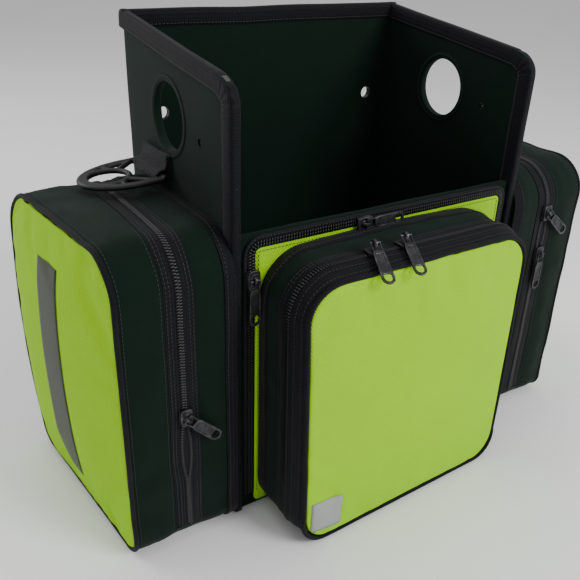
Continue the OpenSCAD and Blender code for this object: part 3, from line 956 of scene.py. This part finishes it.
def padded_face(pocket, slack):
    """A yellow face: simulated as cloth held along its edge over a soft filling."""
    inset = pocket.inset + FACE_INSET
    uv = face_patch(pocket, inset)
    nv, nu = uv.shape[:2]

    def lay(u, v):
        k = 0.25 * wave((u, v, 0), 30.0, pocket.seed)
        if pocket.inset:
            v = v - pocket.inset * max(0.0, 1 - v / 40.0)
        return pocket.place(u, v, pocket.sagged(u, v, pocket.depth) - 0.6 + k)

    obj = patch_object(pocket, pocket.name + "_face", uv, lay, yellow_cloth)
    outward = pocket.outward()
    border = [i * nu + j for i in range(nv) for j in range(nu)
              if i in (0, nv - 1) or j in (0, nu - 1)]
    simulate(obj, border, outward, slack)
    edge_puckers(obj, uv, outward, pocket, inset)
    thicken(obj, FACE_CLOTH_T)
    return smoothed(obj)


CLOTH_SETTINGS = {
    "vertex_group_mass": "held", "quality": 8, "mass": 0.25, "tension_stiffness": 40,
    "compression_stiffness": 30, "shear_stiffness": 20, "bending_stiffness": 2.5,
    "use_pressure": True, "uniform_pressure_force": 4.0, "shrink_min": -0.010}


def simulate(obj, border, outward, limit):
    """Blows the cloth up gently from behind, with its border held, and keeps the result."""
    start = np.array([v.co[:] for v in obj.data.vertices])
    group = obj.vertex_groups.new(name="held")
    group.add(border, 1.0, "REPLACE")
    mod = obj.modifiers.new("cloth", "CLOTH")
    cloth = mod.settings
    for key, value in CLOTH_SETTINGS.items():
        setattr(cloth, key, value)
    cloth.effector_weights.gravity = 0.0
    mod.collision_settings.use_collision = False
    scene = bpy.context.scene
    mod.point_cache.frame_start, mod.point_cache.frame_end = 1, SIM_FRAMES
    for f in range(1, SIM_FRAMES + 1):
        scene.frame_set(f)
        bpy.context.view_layer.update()
    seen = obj.evaluated_get(bpy.context.evaluated_depsgraph_get())
    end = np.array([v.co[:] for v in seen.data.vertices])
    obj.modifiers.clear()
    scene.frame_set(1)
    move = end - start
    lift = move @ outward
    top = max(np.percentile(lift, 99), 1e-6)
    scale = min(1.0, limit * MM / top)
    if not np.isfinite(move).all():
        return
    for vert, d in zip(obj.data.vertices, move):
        vert.co += Vector(d * scale)


def edge_puckers(obj, uv, outward, pocket, inset):
    """Small folds that run in from the sewn edge."""
    a, seed = pocket.w / 2 - inset, pocket.seed
    for vert, (u, v) in zip(obj.data.vertices, uv.reshape(-1, 2)):
        near = min(a - abs(u), v - inset, pocket.h - inset - v)
        if near <= 0.5:
            continue
        fade = math.exp(-near / 16.0) * min(near / 6.0, 1.0)
        ripple = wave((u, v, 3), 12.0, seed) * 1.1 + wave((u, v, 9), 6.0, seed) * 0.5
        broad = 0.9 * wave((u, v * 0.7, 5), 60.0, seed) * min(near / 25.0, 1.0)
        vert.co += Vector(outward * (ripple * fade + broad) * MM)


def make_pocket(p):
    name, low, high = p.name, p.zip_w - TAPE_W, p.zip_w + TAPE_W
    seam_w = 13.0 if p.inset else 10.0
    face_w = p.depth - FACE_T
    above, over = p.above(FOLD_H), p.above(FOLD_H + 2.6)

    def sew(part, node, body, slot, material, ws, limits=None, **shape):
        piece = p.strip(f"{name}_{part}", material, ws, limits, **shape)
        finish_piece(piece, body, slot, *([f"{name}_{node}"] if node else []))

    sew("gusset", "body", p.body, "green_nylon", green_nylon, steps(0.3, low + 0.5),
        thick=CLOTH_T)
    panel = fill_panel(p, name + "_back", lambda u: 0.3, 2.1, 2.0)
    finish_piece(panel, p.body, "green_nylon")
    liner = fill_panel(p, name + "_lid_liner", lambda u: p.face_depth(u) - 5.0, 1.2,
                       p.inset + 3.2)
    finish_piece(liner, p.lid, "green_nylon")
    sew("gusset_bottom", None, p.body, "green_nylon", green_nylon,
        steps(low - 0.5, p.depth - 3.6), p.bottom_part, thick=CLOTH_T)
    sew("seam_tape", "seam_binding", p.body, "black_webbing", black_tape,
        steps(0.0, seam_w, 1.6), thick=1.2,
        rise=seam_rise(-0.5, seam_w + 0.3, 0.6 if p.inset else 1.3))
    sew("zip_tape_fixed", "zip_body_side", p.body, "zip_tape", zip_cloth,
        steps(low, p.zip_w - 0.2, 1.8), above, rise=TAPE_RISE, thick=TAPE_T)
    sew("zip_tape_moving", "zip_lid_side", p.lid, "zip_tape", zip_cloth,
        steps(p.zip_w + 0.7, face_w if p.inset else high, 1.8), over,
        rise=TAPE_RISE, thick=TAPE_T)
    if not p.inset:
        sew("lid_wall", "lid_gusset", p.lid, "green_nylon", green_nylon,
            steps(high - 0.5, face_w + 1.4), p.lid_part, thick=CLOTH_T)
    edge = piping(p, name + "_edge_piping", p.depth - 1.6, 0.0 if p.inset else 0.6)
    finish_piece(edge, p.lid, "black_webbing", name + "_piping")
    face = padded_face(p, 7.0 if p.inset else 11.0)
    finish_piece(face, p.lid, "yellow_fabric", name + "_lid_face")
    for part, start, w, limits, body in (
            ("fixed", 0.0, p.zip_w - 0.7, above, p.body),
            ("moving", BEAD_PITCH / 2, p.zip_w + 1.2, over, p.lid)):
        coil = coil_beads(name + "_coil_" + part, *p.path(w, limits, 1.0), start, 3.4)
        finish_piece(coil, body, "zip_tape")
        sew("zip_core_" + part, None, body, "zip_tape", zip_cloth,
            [w - 1.4, w - 0.9, w + 0.9, w + 1.4], limits, rise=0.8, thick=1.0)
    rows = [(seam_w - 2.0, None, ON_BINDING, p.body), (low + 1.6, above, ON_TAPE, p.body),
            (low + 4.2, above, ON_TAPE, p.body)]
    if p.inset:
        rows += [(p.zip_w + 7.0, over, ON_TAPE, p.lid), (face_w - 2.2, over, ON_TAPE, p.lid)]
    else:
        rows += [(high - 1.6, over, ON_TAPE, p.lid), (high - 4.2, over, ON_TAPE, p.lid),
                 (high + 2.4, over, ON_CLOTH, p.lid), (face_w - 2.0, p.lid_part, ON_CLOTH, p.lid)]
    for part in (p.body, p.lid):
        mine = [p.path(w, lim, rise) for w, lim, rise, b in rows if b == part]
        sewn = stitches(name + "_stitches_" + ("body" if part == p.body else "lid"),
                        [m[0] for m in mine], [m[1] for m in mine], thread_plastic,
                        *FINE_STITCH)
        finish_piece(sewn, part, "black_webbing")


MOUNT_Y = box_mm("front_body")[1][1]
SIDE_LO, SIDE_HI = box_mm("right_seam_binding")
SIDE_Y = (SIDE_LO[1] + SIDE_HI[1]) / 2
FRONT_X = -5.0


def side_pouch(name, s, **own):
    return Pocket(name, "shell", name + "_lid", size=(178.0, 248.0), radii=(32.0, 14.0),
                  zip_w=43.0, depths=(89.0, 103.0), inset=0.0, crown=4.0,
                  place=lambda u, v, w: (s * (X_SIDE + w), SIDE_Y + u, LIFT + v), **own)


front_pocket = Pocket(
    "front", "front_flap", "front_lid", size=(226.0, 229.0), radii=(34.0, 28.0), zip_w=37.0,
    depths=(54.0, 54.0), inset=6.0, crown=4.0, seed=1.3, sag=9.0,
    place=lambda u, v, w: (FRONT_X + u, MOUNT_Y - w, LIFT + v))
right_pouch = side_pouch("right", 1, seed=5.1, opening=(170.0, 209.0, 7.0))
left_pouch = side_pouch("left", -1, seed=8.6, opening=(60.0, 113.0, 6.0), sag=10.0)
for pocket in (front_pocket, right_pouch, left_pouch):
    make_pocket(pocket)


def make_inner_lining(p):
    """The lining that shows behind the open stretch of a pouch's zip."""
    low, high, _ = p.opening
    reach = (p.total - p.height_s(high + 12), p.total - p.height_s(low - 12))
    strip = p.strip(p.name + "_inner_lining", yellow_lining, steps(p.zip_w - 8, p.zip_w + 9, 3),
                    lambda w: reach, rise=-3.4, thick=0.8)
    finish_piece(strip, p.body, "yellow_fabric")


make_inner_lining(right_pouch)


# ---------------------------------------------------------------- flat pocket

def flat_ring(pocket, name, material, profile, limits):
    """A tape lying flat round a pocket's outline. profile is a closed loop of (inset, height)."""
    a, b = limits(0)
    grid = []
    for s in pocket.span(a, b, PATH_STEP):
        (u, v), n = pocket.outline_at(s)
        soft = 0.25 * wave((u, v, 0), 25.0, 2.0)
        grid.append([pocket.place(u - n[0] * i, v - n[1] * i, w + soft) for i, w in profile])
    obj = grid_object(name, grid, material, closed_j=True, cap=True)
    return split_edges(obj)


FLAP_Y = box_mm("flap_zip_wall_side")[1][1]
flap = Pocket("flap", "front_flap", "front_flap", size=(250.0, 238.0), radii=(8.0, 4.0),
              zip_w=0.0, depths=(2.7, 2.7), inset=0.0, crown=0.0, seed=6.0,
              place=lambda u, v, w: (u, FLAP_Y - w, LIFT + v))


def flat_path(pocket, inset, height, limits):
    a, b = limits(0)
    rows = [pocket.outline_at(s) for s in pocket.span(a, b)]
    return [np.array(pocket.place(p[0] - n[0] * inset, p[1] - n[1] * inset, height))
            for p, n in rows]


def make_flap():
    above = flap.above(FOLD_H)
    wall = flat_ring(flap, "flap_tape_wall", zip_cloth, [(-6.0, 0.1), (-6.0, 1.6), (-5.4, 2.1),
                     (-0.9, 2.1), (-0.3, 1.8), (-0.3, 0.1)], above)
    finish_piece(wall, "shell", "zip_tape", "flap_zip_wall_side")
    edge = flat_ring(flap, "flap_tape_edge", zip_cloth, [(0.3, 0.4), (0.3, 1.9), (0.9, 2.3),
                     (4.2, 2.3), (4.6, 1.9), (4.6, 0.4)], above)
    finish_piece(edge, "front_flap", "zip_tape", "flap_zip_flap_side")
    for name, inset, start, body, height in (
            ("flap_coil_wall", -1.3, 0.0, "shell", 2.6),
            ("flap_coil_edge", 1.0, BEAD_PITCH / 2, "front_flap", 2.9)):
        path = flat_path(flap, inset, height, above)
        coil = coil_beads(name, path, [OUT] * len(path), start, 3.0)
        finish_piece(coil, body, "zip_tape")
    panel = patch_object(flap, "flap_cloth", face_patch(flap, 3.1),
                         lambda u, v: flap.place(u, v, 2.7 + 0.25 * wave((u, v, 0), 35.0, 3.0)),
                         yellow_cloth)
    thicken(panel, 1.5)
    finish_piece(panel, "front_flap", "yellow_fabric", "flap_panel")
    rows = [flat_path(flap, i, h, above) for i, h in ((-4.6, 2.25), (5.4, 3.05))]
    for name, path, body in (("flap_stitches_wall", rows[0], "shell"),
                             ("flap_stitches_edge", rows[1], "front_flap")):
        sewn = stitches(name, [path], [OUT], thread_plastic, *FINE_STITCH)
        finish_piece(sewn, body, "black_webbing")


make_flap()


# ---------------------------------------------------------------- sliders and pulls

def flat_part(loops, thickness, bevel, z=0.0):
    """A flat part with rounded edges from closed outlines, the first outside and the rest holes."""
    curve = bpy.data.curves.new("outline", "CURVE")
    curve.dimensions = "2D"
    curve.fill_mode = "BOTH"
    curve.extrude = thickness / 2 - bevel
    curve.bevel_depth = bevel
    curve.bevel_resolution = 1
    curve.offset = -bevel
    for loop in loops:
        spline = curve.splines.new("POLY")
        spline.points.add(len(loop) - 1)
        for point, (x, y) in zip(spline.points, loop):
            point.co = (x, y, 0, 1)
        spline.use_cyclic_u = True
    obj = bpy.data.objects.new("outline", curve)
    bpy.context.collection.objects.link(obj)
    mesh = bpy.data.meshes.new_from_object(obj)
    points = np.array([v.co[:] for v in mesh.vertices]) + np.array((0, 0, z))
    faces = [tuple(f.vertices) for f in mesh.polygons]
    bpy.data.objects.remove(obj)
    bpy.data.curves.remove(curve)
    bpy.data.meshes.remove(mesh)
    return points, faces


def tube(path, radius, sides=8, flat=1.0, up=UP, closed=False):
    """A round or flattened bar along a path that lies roughly across up."""
    path = np.asarray(path, float)
    points, faces = [], []
    n = len(path)
    for i in range(n):
        a = path[(i - 1) % n] if closed or i else path[0]
        b = path[(i + 1) % n] if closed or i < n - 1 else path[-1]
        along = unit(b - a)
        side = unit(np.cross(along, up))
        top = unit(np.cross(side, along))
        points += [path[i] + radius * (math.cos(t) * side + flat * math.sin(t) * top)
                   for t in np.linspace(0, TAU, sides, endpoint=False)]
    for i in range(n if closed else n - 1):
        j = (i + 1) % n
        faces += [(i * sides + k, j * sides + k, j * sides + (k + 1) % sides,
                   i * sides + (k + 1) % sides) for k in range(sides)]
    if not closed:
        faces += [tuple(range(sides)), tuple((n - 1) * sides + k for k in range(sides))]
    return points, faces


def gather(parts):
    points, faces = [], []
    for p, f in parts:
        start = len(points)
        points += [np.asarray(q, float) for q in p]
        faces += [tuple(start + k for k in face) for face in f]
    return np.array(points), faces


def rounded_outline(x0, x1, w0, w1, r0, r1, n=5):
    """A tapering tab along x, w0 wide at x0 and w1 at x1, with rounded corners."""
    loop = []
    for cx, cy, r, a in ((x1 - r1, w1 / 2 - r1, r1, 0), (x0 + r0, w0 / 2 - r0, r0, 90),
                         (x0 + r0, -w0 / 2 + r0, r0, 180), (x1 - r1, -w1 / 2 + r1, r1, 270)):
        for k in range(n + 1):
            t = math.radians(a + 90 * k / n)
            loop.append((cx + r * math.cos(t), cy + r * math.sin(t)))
    return loop


def turn(points, degrees, axis="z"):
    return np.asarray(points) @ np.array(Matrix.Rotation(math.radians(degrees), 3,
                                                         axis.upper())).T


def slider_shape(swing, pivot):
    """Nose, body, side flanges and the bail that holds the pull."""
    top = flat_part([mirrored([(-7.4, 3.4), (-6.6, 4.4), (-2.5, 4.9), (3.5, 5.0), (6.4, 4.4),
                               (7.4, 2.6)])], 1.8, 0.5, 3.5)
    hump = flat_part([rounded_outline(-4.2, 5.2, 5.4, 6.6, 1.8, 2.2)], 1.4, 0.5, 4.5)
    parts = [top, hump]
    for s in (-1, 1):
        rail = [(-6.8, s * 3.9, 2.2), (-2, s * 4.5, 2.1), (3, s * 4.6, 2.1), (6.6, s * 3.9, 2.2)]
        parts.append(tube(rail, 0.75, 6))
    rise = pivot + 2.0
    arch = [(-2.9, 0, 3.2), (-2.9, 0, pivot - 0.6), (-2.5, 0, rise - 1.2), (-1.4, 0, rise - 0.2),
            (0, 0, rise), (1.4, 0, rise - 0.2), (2.5, 0, rise - 1.2), (2.9, 0, pivot - 0.6),
            (2.9, 0, 3.2)]
    points, faces = tube(arch, 0.72, 8, 1.9, up=(0, 1, 0))
    parts.append((turn(points, swing), faces))
    return gather(parts)


def pull_shape(swing, slope, pivot):
    """A long tab with a ribbed inlay and an opening at its end, hung on its eye."""
    outer = mirrored([(7.2, 2.9), (8.4, 4.1), (11.0, 4.7), (30.6, 5.0), (33.6, 4.3), (35.4, 2.3),
                      (36.0, 0)])
    eye = [(28.2, 3.1), (31.0, 3.1), (33.0, 2.2), (33.9, 0), (33.0, -2.2), (31.0, -3.1),
           (28.2, -3.1), (27.5, -2.2), (27.5, 2.2)]
    inlay = rounded_outline(10.2, 25.8, 5.8, 6.4, 1.2, 1.2)
    parts = [flat_part([outer, eye, inlay], 1.7, 0.4),
             flat_part([rounded_outline(9.8, 26.2, 6.4, 7.0, 1.2, 1.2)], 0.8, 0.15)]
    for k in range(8):
        x = 11.4 + 1.85 * k
        parts.append(tube([(x, -2.5, 0), (x, 2.5, 0)], 0.62, 6, 1.1))
    for s in (-1, 1):
        parts.append(tube([(0, s * 3.6, 0), (3.0, s * 3.6, 0), (7.0, s * 3.3, 0),
                           (9.0, s * 2.8, 0)], 0.82, 6))
    parts.append(tube([(0, -4.3, 0), (0, 4.3, 0)], 0.85, 10))
    points, faces = gather(parts)
    points = turn(points, slope, "y") + np.array((0, 0, pivot))
    return turn(points, swing), faces


def placed(shape, origin, x, y, z):
    points, faces = shape
    return np.asarray(origin) + np.asarray(points) @ np.array([x, y, z], float), faces


SIDE_ZIP_X = X_SIDE + right_pouch.zip_w
POUCH_FRONT = SIDE_Y - right_pouch.w / 2
FRONT_ZIP_Y = MOUNT_Y - front_pocket.zip_w - 0.25
FASTENERS = [
    ("front_slider_a", "front_pull_a", (-46, FRONT_ZIP_Y, 232), (1, 0, 0), (0, 1, 0), UP,
     -105, 30, 9.2),
    ("front_slider_b", "front_pull_b", (-17, FRONT_ZIP_Y, 232), (1, 0, 0), (0, 1, 0), UP,
     -105, 30, 9.2),
    ("flap_slider_side", "flap_pull_side", (-125, MOUNT_Y, 216), UP, (-1, 0, 0), OUT,
     180, 0, 5.7),
    ("flap_slider_top", "flap_pull_top", (-28, MOUNT_Y, 241), (1, 0, 0), UP, OUT, 0, 0, 5.7),
    ("left_slider", "left_pull", (-SIDE_ZIP_X, POUCH_FRONT, 121), UP, (1, 0, 0), OUT,
     135, 0, 5.7),
    ("right_slider_upper", "right_pull_upper", (SIDE_ZIP_X, POUCH_FRONT, 213), UP, (-1, 0, 0),
     OUT, -130, 0, 5.7),
    ("right_slider_lower", "right_pull_lower", (SIDE_ZIP_X, POUCH_FRONT, 172), UP, (-1, 0, 0),
     OUT, 180, 0, 5.7)]


def make_fasteners():
    for slider, pull, origin, x, y, z, swing, slope, pivot in FASTENERS:
        for node, shape in ((slider, slider_shape(swing, pivot)),
                            (pull, pull_shape(swing, slope, pivot))):
            points, faces = placed(shape, origin, x, y, z)
            obj = new_object(node + "_cast", points, faces, dark_metal)
            split_edges(obj, 38)
            finish_piece(obj, node, "zip_metal", node)


make_fasteners()


# ---------------------------------------------------------------- carry rings and loops

LOOP_LO, LOOP_HI = box_mm("right_web_loop")
RING_Y = (LOOP_LO[1] + LOOP_HI[1]) / 2
RING_Z = 266.0
RING_X = X_SIDE + 8.0
RING_DROP = 4.0


def ring_shape():
    """A moulded D-shaped ring with an inner ring held by ribs, lying along x from its bar."""
    parts = [tube([(0, -29.6, 0), (0, -28, 0), (0, 0, 0), (0, 28, 0), (0, 29.6, 0)], 2.9, 12)]
    rim = [(0, -28.3, 0), (6, -28.5, 0)]
    rim += [(14 + 41.2 * math.cos(math.radians(a)), 28.4 * math.sin(math.radians(a)), 0)
            for a in range(-90, 91, 6)]
    rim += [(6, 28.5, 0), (0, 28.3, 0)]
    parts.append(tube(rim, 3.5, 10, 0.72))
    inner = [(35 + 16.9 * math.cos(t), 16.9 * math.sin(t), 0)
             for t in np.linspace(0, TAU, 40, endpoint=False)]
    parts.append(tube(inner, 2.6, 8, 0.95, closed=True))
    for s in (-1, 1):
        parts.append(tube([(6, s * 27.5, 0), (14, s * 20.5, 0), (22.5, s * 12.5, 0)], 2.6, 8, 0.85))
        parts.append(tube([(27, s * 16, 0), (30, s * 22, 0), (31, s * 26.5, 0)], 2.2, 8, 0.95))
    return gather(parts)


def make_rings():
    for s, side in ((1, "right"), (-1, "left")):
        points, faces = ring_shape()
        points = turn(points, RING_DROP, "y")
        points = np.asarray(points) * (s, 1, 1) + np.array((s * RING_X, RING_Y, RING_Z))
        ring = new_object(side + "_ring_moulding", points, faces, ring_plastic)
        mod = ring.modifiers.new("fuse", "REMESH")
        mod.mode = "VOXEL"
        mod.voxel_size = 0.85 * MM
        soft = ring.modifiers.new("soft", "SMOOTH")
        soft.factor = 0.5
        soft.iterations = 3
        apply_modifiers(ring)
        ring.data.shade_smooth()
        finish_piece(ring, side + "_ring", "black_plastic", side + "_ring")


def make_loops():
    r = 3.4 + 1.0
    x0 = X_SIDE + 1.1
    for s, side in ((1, "right"), (-1, "left")):
        path = [(x0 + 0.2, RING_Z + 16.4), (x0 + 0.2, RING_Z + 8), (x0 + 0.1, RING_Z),
                (x0 + 0.3, RING_Z - 3.2), (x0 + 2.0, RING_Z - r)]
        path += [(RING_X + r * math.cos(math.radians(a)), RING_Z + r * math.sin(math.radians(a)))
                 for a in range(-90, 100, 15)]
        path += [(RING_X - 3.0, RING_Z + 4.9), (x0 + 2.9, RING_Z + 7.4), (x0 + 2.2, RING_Z + 10),
                 (x0 + 2.2, RING_Z + 16.4)]
        grid = []
        for x, z in path:
            row = []
            for y in np.linspace(-24.6, 24.6, 21):
                edge = 0.25 * (abs(y) / 24.6) ** 4
                soft = 0.3 * wave((x, y, z), 16.0, s)
                row.append((s * (x + soft * 0.6), RING_Y + y, z + soft + edge))
            grid.append(row)
        web = grid_object(side + "_webbing", grid, webbing_cloth)
        thicken(web, 1.9, 0.0)
        smoothed(web)
        finish_piece(web, "shell", "black_webbing", side + "_web_loop")
        x = s * (x0 + 3.4)
        box = [(x, RING_Y - 22, RING_Z + 10.2), (x, RING_Y + 22, RING_Z + 10.2),
               (x, RING_Y + 22, RING_Z + 15.2), (x, RING_Y - 22, RING_Z + 15.2),
               (x, RING_Y - 22, RING_Z + 10.2)]
        sewn = stitches(side + "_webbing_stitches", [box], [(s, 0, 0)], thread_plastic,
                        3.0, 2.1, 0.32)
        finish_piece(sewn, "shell", "black_webbing")


make_rings()
make_loops()


# ---------------------------------------------------------------- label and strips

TRIM_STEP = 3.0


def draped(name, pocket, corners, material, rise, thick):
    """A thin patch that lies on a pocket's face, between opposite corners (u, v)."""
    face = bpy.data.objects[pocket.name + "_face"]
    tree = BVHTree.FromPolygons([v.co[:] for v in face.data.vertices],
                                [tuple(p.vertices) for p in face.data.polygons])
    outward = Vector(pocket.outward())
    (u0, v0), (u1, v1) = corners
    us, vs = pocket.span(u0, u1, TRIM_STEP), pocket.span(v0, v1, TRIM_STEP)
    grid = []
    for v in vs:
        row = []
        for u in us:
            start = Vector(pocket.place(u, v, 160)) * MM
            hit = tree.ray_cast(start, -outward)[0]
            point = hit if hit is not None else Vector(pocket.place(u, v, pocket.depth)) * MM
            row.append(np.array(point / MM) + np.array(outward) * rise)
        grid.append(row)
    patch = grid_object(name, grid, material)
    if Vector(patch.data.polygons[0].normal).dot(outward) < 0:
        patch.data.flip_normals()
    return thicken(patch, thick, 1.0)


def make_trim():
    label = draped("front_woven_label", front_pocket, ((-101, 10), (-73, 40)), label_cloth,
                   0.15, 0.5)
    finish_piece(label, "front_lid", "reflective_film", "front_label")
    for pocket in (right_pouch, left_pouch):
        strip = draped(pocket.name + "_reflective_film", pocket, ((-17, 34), (17, 218)),
                       reflective, 0.1, 0.35)
        finish_piece(strip, pocket.lid, "reflective_film", pocket.name + "_reflective_strip")


make_trim()
for node in ("base_board", "front_wall_board"):
    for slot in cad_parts[node].material_slots:
        slot.material = board_plastic


# ---------------------------------------------------------------- floor and light

def make_floor():
    mesh = bpy.data.meshes.new("floor")
    floor = bpy.data.objects.new("floor", mesh)
    work = bmesh.new()
    bmesh.ops.create_grid(work, x_segments=1, y_segments=1, size=12.0)
    work.to_mesh(mesh)
    work.free()
    n = Nodes("floor_paper")
    place = n.add("TexCoord").outputs["Object"]
    n.link(n.mix(n.noise(place, 3.0, 2.0), (0.93, 0.93, 0.93, 1), (0.96, 0.96, 0.96, 1)),
           "Base Color")
    n.shader.inputs["Roughness"].default_value = 0.9
    n.shader.inputs["Specular IOR Level"].default_value = 0.1
    mesh.materials.append(n.material)
    bpy.context.collection.objects.link(floor)


def add_light(name, at, target, size, power):
    data = bpy.data.lights.new(name, "AREA")
    data.shape = "DISK"
    data.size = size
    data.energy = power
    lamp = bpy.data.objects.new(name, data)
    lamp.location = at
    lamp.rotation_euler = (Vector(target) - Vector(at)).to_track_quat("-Z", "Y").to_euler()
    bpy.context.collection.objects.link(lamp)


def make_light():
    world = bpy.data.worlds.new("studio")
    world.use_nodes = True
    world.node_tree.nodes["Background"].inputs["Color"].default_value = (1, 1, 1, 1)
    world.node_tree.nodes["Background"].inputs["Strength"].default_value = 0.55
    bpy.context.scene.world = world
    add_light("key", (0.75, -1.5, 1.25), (0, -0.05, 0.16), 0.9, 28)
    add_light("fill", (-1.3, 1.6, 1.2), (0, 0.05, 0.2), 1.2, 16)
    add_light("top", (-0.2, 0.2, 1.8), (0, 0, 0.2), 1.2, 8)


make_floor()
make_light()
